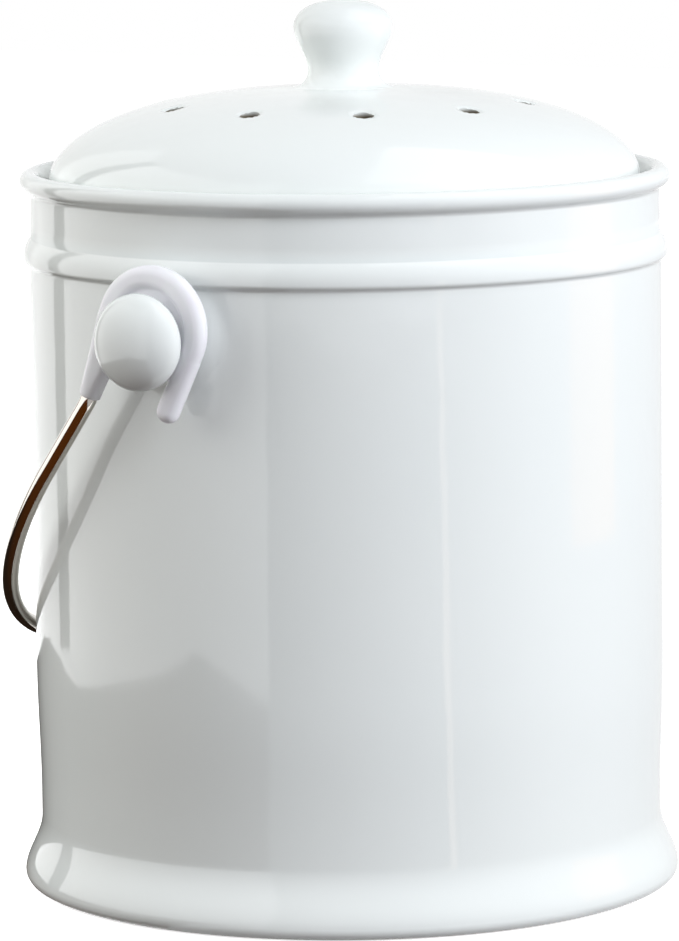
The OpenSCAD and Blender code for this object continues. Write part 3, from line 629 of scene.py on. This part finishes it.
def ventedTree():
    # sinks the glaze round each vent in a rounded rim, then cuts the holes square to the dome
    tree, given = newTree("ventedDome", {
        "Dome": "Object", "Count": "Int", "Ring Radius": "Float", "Ring Height": "Float", "Start": "Float",
        "Tilt": "Float", "Hole Radius": "Float", "Softness": "Float", "Cutter Sides": "Int",
        "Cutter Length": "Float", "Material": "Material"})
    dome = addNode(tree, "GeometryNodeObjectInfo", inputs={"Object": given["Dome"]})
    place = addNode(tree, "GeometryNodeInputPosition")
    parts = addNode(tree, "ShaderNodeSeparateXYZ", inputs={"Vector": place})
    bearing = addNode(tree, maths, "ARCTAN2", [parts.outputs["Y"], parts.outputs["X"]])
    turn = addNode(tree, maths, "SUBTRACT", [bearing, given["Start"]])
    pitch = addNode(tree, maths, "DIVIDE", [math.tau, given["Count"]])
    vent = addNode(tree, maths, "ROUND", [addNode(tree, maths, "DIVIDE", [turn, pitch])])
    nearest = addNode(tree, maths, "SUBTRACT", [turn, addNode(tree, maths, "MULTIPLY", [pitch, vent])])
    flat = addNode(tree, vectorMaths, "MULTIPLY", [place, (1, 1, 0)])
    radius = addNode(tree, vectorMaths, "LENGTH", [flat])
    out = addNode(tree, maths, "MULTIPLY", [radius, addNode(tree, maths, "COSINE", [nearest])])
    spread = addNode(tree, "ShaderNodeCombineXYZ", inputs={
        "X": addNode(tree, maths, "SUBTRACT", [out, given["Ring Radius"]]),
        "Y": addNode(tree, maths, "MULTIPLY", [radius, addNode(tree, maths, "SINE", [nearest])])})
    reach = addNode(tree, vectorMaths, "LENGTH", [spread])
    past = addNode(tree, maths, "SUBTRACT", [reach, given["Hole Radius"]])
    share = addNode(tree, maths, "DIVIDE", [past, given["Softness"]])
    held = addNode(tree, "ShaderNodeClamp", inputs={"Value": share})
    left = addNode(tree, maths, "SUBTRACT", [1.0, held])
    level = addNode(tree, maths, "SUBTRACT", [1.0, addNode(tree, maths, "POWER", [left, 2.0])])
    below = addNode(tree, maths, "SUBTRACT", [addNode(tree, maths, "SQRT", [level]), 1.0])
    sink = addNode(tree, maths, "MULTIPLY", [below, given["Softness"]])
    normal = addNode(tree, "GeometryNodeInputNormal")
    push = addNode(tree, vectorMaths, "SCALE", {"Vector": normal, "Scale": sink})
    sunk = addNode(tree, "GeometryNodeSetPosition", inputs={
        "Geometry": dome.outputs["Geometry"], "Offset": push,
        "Selection": addNode(tree, maths, "LESS_THAN", [share, 1.0])})
    spots = addNode(tree, "GeometryNodeMeshLine", inputs={"Count": given["Count"], "Offset": (0, 0, 0)})
    rank = addNode(tree, "GeometryNodeInputIndex")
    along = addNode(tree, maths, "MULTIPLY", [pitch, rank])
    angle = addNode(tree, maths, "ADD", [given["Start"], along])
    cosine = addNode(tree, maths, "COSINE", [angle])
    sine = addNode(tree, maths, "SINE", [angle])
    spot = addNode(tree, "ShaderNodeCombineXYZ", inputs={
        "X": addNode(tree, maths, "MULTIPLY", [given["Ring Radius"], cosine]),
        "Y": addNode(tree, maths, "MULTIPLY", [given["Ring Radius"], sine]),
        "Z": given["Ring Height"]})
    placed = addNode(tree, "GeometryNodeSetPosition", inputs={"Geometry": spots, "Position": spot})
    lean = addNode(tree, "ShaderNodeCombineXYZ", inputs={"Y": given["Tilt"], "Z": angle})
    cutter = addNode(tree, "GeometryNodeMeshCylinder", inputs={
        "Vertices": given["Cutter Sides"], "Radius": given["Hole Radius"], "Depth": given["Cutter Length"]})
    bored = addNode(tree, "GeometryNodeStoreNamedAttribute", {"data_type": "FLOAT", "domain": "FACE"}, {
        "Geometry": cutter, "Name": "ventWall", "Value": 1.0})
    cutters = addNode(tree, "GeometryNodeInstanceOnPoints", inputs={
        "Points": placed, "Instance": bored, "Rotation": lean})
    solid = addNode(tree, "GeometryNodeRealizeInstances", inputs={"Geometry": cutters})
    holed = addNode(tree, "GeometryNodeMeshBoolean", {"operation": "DIFFERENCE", "solver": "MANIFOLD"}, {
        "Mesh 1": sunk, "Mesh 2": solid})
    return endTree(tree, holed, given["Material"])


def buildLid(size, holes):
    start = math.radians(holes["phase"])
    ring = size["rim"] - holes["inset"]
    probe = 1.0
    slope = math.atan2(domeTop(ring - probe, size) - domeTop(ring + probe, size), 2 * probe)
    dome = turned("lidTurned", lidOutline(size), stoneware, size["segments"],
                  holes["count"], holes["crowding"], start)
    tidyMesh(dome)
    piece = grow("lidBody", ventedTree(), {
        "Dome": dome, "Count": holes["count"], "Start": start, "Tilt": slope,
        "Ring Radius": ring * mm, "Ring Height": domeTop(ring, size) * mm,
        "Hole Radius": holes["size"] / 2 * mm, "Softness": holes["softness"] * mm,
        "Cutter Sides": holes["sides"], "Cutter Length": holes["boreLength"] * mm, "Material": stoneware})
    discard(dome)
    return tidyMesh(piece)


lidBody = buildLid(lid, vents)
print("lid done:", len(lidBody.data.polygons), "faces")


# Bail: one wire, bent at the sockets, leaning in, then round the shoulders and the crown

bail = {
    "radius": 2.3, "pin": 12, "bend": 8, "lean": 12.5, "straight": 27, "crown": 76, "crownHalf": 25,
    "cant": 17.6, "hookX": 96.3, "legSide": 12.4, "legLength": 23, "start": 0.1, "wall": 88.2,
    "restGap": 0.3, "sides": 56, "bendSteps": 12, "shoulderSteps": 44, "crownSteps": 24,
}


def bendPoints(start, along, towards, radius, angle, count):
    # an arc that leaves start along one direction and turns towards another
    across = (towards - along * along.dot(towards)).normalized()
    steps = [angle * i / count for i in range(1, count + 1)]
    points = [start + across * radius * (1 - math.cos(a)) + along * radius * math.sin(a) for a in steps]
    return points, along * math.cos(angle) + across * math.sin(angle)


def bailPath(size):
    cant, lean, half = (math.radians(size[name]) for name in ("cant", "lean", "crownHalf"))
    pinWay = Vector((0, -math.sin(cant), -math.cos(cant)))
    legWay = Vector((-math.sin(lean), 0, -math.cos(lean)))
    turn = math.acos(pinWay.dot(legWay))
    side, down = size["legSide"], -size["legLength"]
    mouth = Vector((size["hookX"], side * math.cos(cant) + down * math.sin(cant),
                    -side * math.sin(cant) + down * math.cos(cant)))
    bendAt = mouth + pinWay * size["start"]
    corner = bendAt + pinWay * size["bend"] * math.tan(turn / 2)
    span = size["hookX"] - size["straight"] * math.sin(lean) - size["crown"] * math.sin(half)
    shoulder = span / (math.cos(lean) - math.sin(half))
    inward = Vector((-1, 0, 0))
    first, _ = bendPoints(bendAt, pinWay, legWay, size["bend"], turn, size["bendSteps"])
    legEnd = corner + legWay * size["straight"]
    second, way = bendPoints(
        legEnd, legWay, inward, shoulder, math.pi / 2 - half - lean, size["shoulderSteps"])
    third, _ = bendPoints(second[-1], way, inward, size["crown"], half, size["crownSteps"])
    pinStart = bendAt - pinWay * (size["pin"] + size["start"])
    path = [pinStart, bendAt, *first, legEnd, *second, *third]
    path += [Vector((-p.x, p.y, p.z)) for p in reversed(path[:-1])]
    deep, out = -path[len(path) // 2].z, corner.y
    standOff = size["wall"] + size["radius"] + size["restGap"]
    rest = math.asin(standOff / math.hypot(out, deep)) - math.atan2(out, deep)
    hang = Matrix.Translation((0, 0, studHeight)) @ Matrix.Rotation(rest, 4, "X")
    return [hang @ p for p in path]


def rodTree():
    # sweeps a circle along the wire's path, and keeps the length along and the place around it
    tree, given = newTree("bentRod", {
        "Path": "Object", "Radius": "Float", "Sides": "Int", "Material": "Material"})
    line = addNode(tree, "GeometryNodeObjectInfo", inputs={"Object": given["Path"]})
    wire = addNode(tree, "GeometryNodeMeshToCurve", inputs={"Mesh": line.outputs["Geometry"]})
    along = addNode(tree, "GeometryNodeSplineParameter")
    measured = addNode(tree, "GeometryNodeStoreNamedAttribute", {"data_type": "FLOAT", "domain": "POINT"}, {
        "Geometry": wire, "Name": "alongRod", "Value": along.outputs["Length"]})
    circle = addNode(tree, "GeometryNodeCurvePrimitiveCircle", inputs={
        "Resolution": given["Sides"], "Radius": given["Radius"]})
    around = addNode(tree, "GeometryNodeInputPosition")
    marked = addNode(tree, "GeometryNodeStoreNamedAttribute", {
        "data_type": "FLOAT_VECTOR", "domain": "POINT"}, {
        "Geometry": circle, "Name": "sectionPlace", "Value": around})
    rod = addNode(tree, "GeometryNodeCurveToMesh", inputs={
        "Curve": measured, "Profile Curve": marked, "Fill Caps": True})
    joined = addNode(tree, "GeometryNodeMergeByDistance", inputs={"Geometry": rod, "Distance": weld})
    return endTree(tree, joined, given["Material"])


def buildRod(size):
    line = lineObject("rodPath", bailPath(size))
    piece = grow("bailRod", rodTree(), {
        "Path": line, "Radius": size["radius"] * mm, "Sides": size["sides"], "Material": rodSteel})
    discard(line)
    return tidyMesh(piece)


bailRod = buildRod(bail)
print("bail rod done:", len(bailRod.data.polygons), "faces")


# Hooks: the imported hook's form, with the softened edges and blended webs of a moulding

hook = {"voxel": 0.3, "smoothing": 7, "strength": 0.5, "sharpFrom": 80}


def softMoulding(name, node, material, size):
    mesh = nodes[node].data.copy()
    mesh.materials.clear()
    mesh.materials.append(material)
    piece = addObject(name, mesh)
    work = bmesh.new()
    work.from_mesh(mesh)
    bmesh.ops.remove_doubles(work, verts=work.verts, dist=weld)
    work.to_mesh(mesh)
    work.free()
    remesh = piece.modifiers.new("remesh", "REMESH")
    remesh.mode = "VOXEL"
    remesh.voxel_size = size["voxel"] * mm
    soften = piece.modifiers.new("soften", "SMOOTH")
    soften.factor = size["strength"]
    soften.iterations = size["smoothing"]
    shaped = piece.evaluated_get(bpy.context.evaluated_depsgraph_get())
    result = bpy.data.meshes.new_from_object(shaped)
    piece.modifiers.clear()
    piece.data = result
    return tidyMesh(piece, size["sharpFrom"])


hookPieces = {
    hand: softMoulding(hand + "Hook", "hook_" + hand, hookPlastic, hook) for hand in ("left", "right")}
print("hooks done:", sum(len(piece.data.polygons) for piece in hookPieces.values()), "faces")


# Filter pad: a felt disc with soft edges and an uneven face

pad = {
    "edge": 1.6, "inset": 0.05, "lump": 9, "lumpHeight": 0.14, "lumpLayers": 3, "segments": 180,
    "span": 2.0, "sharpFrom": 80,
}


def buildPad(size):
    low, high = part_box("charcoal_filter")
    radius = high.x / mm - size["inset"] - size["lumpHeight"]
    bottom, top = low.z / mm + size["inset"], high.z / mm - size["inset"] - size["lumpHeight"]
    edge = size["edge"]
    outline = refine(
        [(0, bottom), (radius - edge, bottom)]
        + arc(radius - edge, bottom + edge, edge, 270, 360, step=15)
        + arc(radius - edge, top - edge, edge, 0, 90, step=15)
        + [(0, top)], size["span"])
    piece = turned("charcoalPad", outline, filterFelt, size["segments"])
    tidyMesh(piece, size["sharpFrom"])
    for vertex in piece.data.vertices:
        if vertex.co.z > (bottom + edge / 2) * mm:
            # each layer of lumps is half as wide and half as high as the one before
            lump = noise.fractal(vertex.co / (size["lump"] * mm), 1.0, 2.0, size["lumpLayers"])
            vertex.co += vertex.normal * max(-1.0, min(1.0, lump)) * size["lumpHeight"] * mm
    return piece


charcoalPad = buildPad(pad)
print("filter pad done")


# The pieces join the frame

def dress(node, material):
    mesh = nodes[node].data
    mesh.materials.clear()
    mesh.materials.append(material)


def stand(piece, node, body):
    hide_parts(node)
    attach(piece, body)


stand(crockBody, "crock", "crock_body")
stand(lidBody, "lid", "lid_body")
stand(bailRod, "bail_rod", "bail_body")
for hand, piece in hookPieces.items():
    stand(piece, "hook_" + hand, "bail_body")
stand(charcoalPad, "charcoal_filter", "retainer_body")
for node in ("filter_holder", "filter_retainer"):
    dress(node, filterPlastic)
print("pieces placed")


# Camera: the azimuth is in degrees, the tilts in radians and the focal length in frame pixels

cameraSetup = {
    "azimuth": 57.6, "distance": 1560.6 * mm, "height": 330.6 * mm,
    "pitch": 0.1375, "yaw": -0.0015, "roll": 0.0115,
    "focalPixels": 5610.2, "framePixels": 941, "sensor": 36.0, "clipStart": 0.01,
}


def addCamera(setup):
    turn = math.radians(setup["azimuth"])
    ahead = Vector((math.sin(turn), math.cos(turn), 0))
    side = Vector((math.cos(turn), -math.sin(turn), 0))
    forward = (ahead * math.cos(setup["yaw"]) + side * math.sin(setup["yaw"])) * math.cos(setup["pitch"])
    forward.z = -math.sin(setup["pitch"])
    right = side * math.cos(setup["yaw"]) - ahead * math.sin(setup["yaw"])
    up = right.cross(forward)
    tilt = setup["roll"]
    imageRight = right * math.cos(tilt) - up * math.sin(tilt)
    imageUp = right * math.sin(tilt) + up * math.cos(tilt)
    data = bpy.data.cameras.new("camera")
    data.sensor_width = setup["sensor"]
    data.lens = setup["focalPixels"] / setup["framePixels"] * setup["sensor"]
    data.clip_start = setup["clipStart"]
    camera = addObject("camera", data)
    place = -ahead * setup["distance"] + Vector((0, 0, setup["height"]))
    basis = Matrix((imageRight, imageUp, -forward)).transposed().to_4x4()
    camera.matrix_world = Matrix.Translation(place) @ basis
    scene.camera = camera
    return ahead, side


ahead, side = addCamera(cameraSetup)
print("camera done")


# Studio: soft boxes, a white floor and world, and light and dark cards that only reflections see

studio = {
    "world": 0.3, "bounceLeft": "#5A5048", "bounceRight": "#8F8C95", "bounceFrom": -0.2, "bounceTo": 0.4,
    "paper": "#FFFFFF", "paperGlow": 0.75, "floorReach": 3.0, "floorDrop": 0.2, "lampsAim": 0.12,
}
lamps = {
    "rightFront": {"place": (1.1, -1.15, 1.25), "size": (1.0, 0.8), "power": 23.4, "color": "#F1F7FF"},
    "rightLow": {"place": (1.5, -0.7, 0.5), "size": (0.9, 0.7), "power": 11.6, "color": "#FFFFFF"},
    "leftWindow": {"place": (-1.5, -0.1, 0.85), "size": (1.7, 1.5), "power": 17.0, "color": "#FEFFFD"},
    "leftBack": {"place": (-1.2, 0.8, 1.0), "size": (0.6, 0.8), "power": 3.4, "color": "#FFFFFF"},
}
# what the gloss and the metal see besides the white room, as (across, back) in metres:
# an area lies flat at its level, and a fence stands on its line up to its height
cards = {
    "tableTop": {
        "color": "#5F3412", "strength": 1.0, "darker": "#2A1F17", "from": -0.12, "to": 0.05,
        "level": 0.001, "area": [
            (-0.05, -0.13), (-0.19, -0.38), (-0.31, -0.35), (-0.37, -0.34), (-0.415, -0.31), (-0.425, -0.2),
            (-0.42, -0.05), (-0.405, 0.05), (-0.37, 0.14), (-0.37, 0.23), (-0.34, 0.31), (-0.29, 0.35),
            (-0.1, 0.35), (-0.05, 0.0)]},
    "sheet": {"color": "#FBFCFF", "strength": 0.75, "level": 0.001, "area": [
        (-0.05, -0.13), (-0.19, -0.38), (-0.3, -0.58), (-0.78, -1.5), (0.98, -1.4), (0.06, -0.12)]},
    "farPaper": {"color": "#FFFFFF", "strength": 0.95, "level": 0.001, "area": [
        (0.06, -0.12), (0.98, -1.4), (2.9, -2.9), (2.9, 2.0), (0.3, 2.0), (0.08, 0.1)]},
    "windowWall": {"color": "#FFFFFF", "strength": 1.95, "height": 0.7, "fence": [
        (-0.19, -0.385), (-0.31, -0.355), (-0.42, -0.315), (-0.43, -0.2), (-0.43, 0.19)]},
    "windowBar": {"color": "#1E1B19", "strength": 1.0, "height": 0.7, "fence": [
        (-0.43, 0.19), (-0.389, 0.243)]},
    "backWall": {"color": "#FFFFFF", "strength": 1.5, "height": 0.7, "fence": [
        (-0.389, 0.243), (-0.35, 0.32), (-0.29, 0.36)]},
    "lightStreak": {"color": "#FFF0E4", "strength": 2.2, "level": 0.002, "area": [
        (0.07, -0.14), (0.135, -0.239), (0.484, -0.773), (0.95, -1.53),
        (0.996, -1.5), (0.514, -0.753), (0.143, -0.233), (0.074, -0.137)]},
    "warmPane": {"color": "#FFD7B8", "strength": 1.7, "foot": 0.052, "height": 0.3, "fence": [
        (0.393, -0.076), (0.392, 0.085)]},
    "skylight": {"color": "#FFFFFF", "strength": 2.1, "level": 1.5, "area": [
        (0.15, -1.0), (1.3, -1.0), (1.3, 0.6), (0.15, 0.6)]},
}


def studioPoint(across, back, up):
    # metres across the view, towards the far side of it, and above the floor
    return side * across + ahead * back + Vector((0, 0, up))


def addLamp(name, lamp):
    data = bpy.data.lights.new(name, "AREA")
    data.shape = "RECTANGLE"
    data.size, data.size_y = lamp["size"]
    data.energy = lamp["power"]
    data.color = hexColor(lamp["color"])[:3]
    light = addObject(name, data)
    light.location = studioPoint(*lamp["place"])
    aim = Vector((0, 0, studio["lampsAim"])) - light.location
    light.rotation_euler = aim.to_track_quat("-Z", "Y").to_euler()
    light.visible_glossy = False


def addCard(name, card):
    # shows in gloss and metal only, and neither lights nor shades anything
    if "area" in card:
        spots = [studioPoint(across, back, card["level"]) for across, back in card["area"]]
        faces = [range(len(spots))]
    else:
        line = card["fence"]
        levels = (card.get("foot", 0), card["height"])
        spots = [studioPoint(across, back, up) for up in levels for across, back in line]
        faces = [(i, i + 1, i + 1 + len(line), i + len(line)) for i in range(len(line) - 1)]
    panel = addMesh(name, [tuple(spot) for spot in spots], [], faces)
    material, tree, shader = newMaterial(name + "Paper", {
        "Base Color": (0, 0, 0, 1), "Roughness": 1.0, "Specular IOR Level": 0.0,
        "Emission Color": hexColor(card["color"]), "Emission Strength": card["strength"]})
    if "darker" in card:
        place = addNode(tree, "ShaderNodeTexCoord").outputs["Object"]
        share = addNode(tree, "ShaderNodeMapRange", inputs={
            "Value": addNode(tree, vectorMaths, "DOT_PRODUCT", [place, ahead]),
            "From Min": card["from"], "From Max": card["to"]})
        tone = addNode(tree, "ShaderNodeMix", {"data_type": "RGBA"}, {
            "Factor": share, "A": hexColor(card["color"]), "B": hexColor(card["darker"])})
        feed(tree, shader, {"Emission Color": tone})
    panel.data.materials.append(material)
    for ray in ("camera", "diffuse", "transmission", "volume_scatter", "shadow"):
        setattr(panel, "visible_" + ray, False)


for name, lamp in lamps.items():
    addLamp(name, lamp)
for name, card in cards.items():
    addCard(name, card)


def seenRays(tree):
    # 1 for what the camera sees, straight or in gloss or glass, and 0 for what gives light
    rays = addNode(tree, "ShaderNodeLightPath")
    mirrored = addNode(tree, maths, "MAXIMUM", [
        rays.outputs["Is Glossy Ray"], rays.outputs["Is Transmission Ray"]])
    return addNode(tree, maths, "MAXIMUM", [rays.outputs["Is Camera Ray"], mirrored])


def addWorld():
    world = bpy.data.worlds.new("studio")
    scene.world = world
    world.use_nodes = True
    tree = world.node_tree
    strength = addNode(tree, "ShaderNodeMix", inputs={
        "Factor": seenRays(tree), "A": studio["world"], "B": 1.0})
    feed(tree, tree.nodes["Background"], {"Color": hexColor(studio["paper"]), "Strength": strength})


def addFloor():
    reach = studio["floorReach"]
    floor = addMesh("floor", [
        (-reach, -reach, 0), (reach, -reach, 0), (reach, reach, 0), (-reach, reach, 0)], [], [(0, 1, 2, 3)])
    floor.location.z = -studio["floorDrop"] * mm
    material, tree, shader = newMaterial("floorPaper", {
        "Roughness": 1.0, "Specular IOR Level": 0.0, "Emission Color": hexColor(studio["paper"])})
    place = addNode(tree, "ShaderNodeTexCoord").outputs["Object"]
    share = addNode(tree, "ShaderNodeMapRange", inputs={
        "Value": addNode(tree, vectorMaths, "DOT_PRODUCT", [place, side]),
        "From Min": studio["bounceFrom"], "From Max": studio["bounceTo"]})
    bounce = addNode(tree, "ShaderNodeMix", {"data_type": "RGBA"}, {
        "Factor": share, "A": hexColor(studio["bounceLeft"]), "B": hexColor(studio["bounceRight"])})
    seen = seenRays(tree)
    color = addNode(tree, "ShaderNodeMix", {"data_type": "RGBA"}, {
        "Factor": seen, "A": bounce, "B": hexColor(studio["paper"])})
    glow = addNode(tree, maths, "MULTIPLY", [seen, studio["paperGlow"]])
    feed(tree, shader, {"Base Color": color, "Emission Strength": glow})
    floor.data.materials.append(material)


addWorld()
addFloor()
scene.view_settings.view_transform = "Standard"
print("studio done")
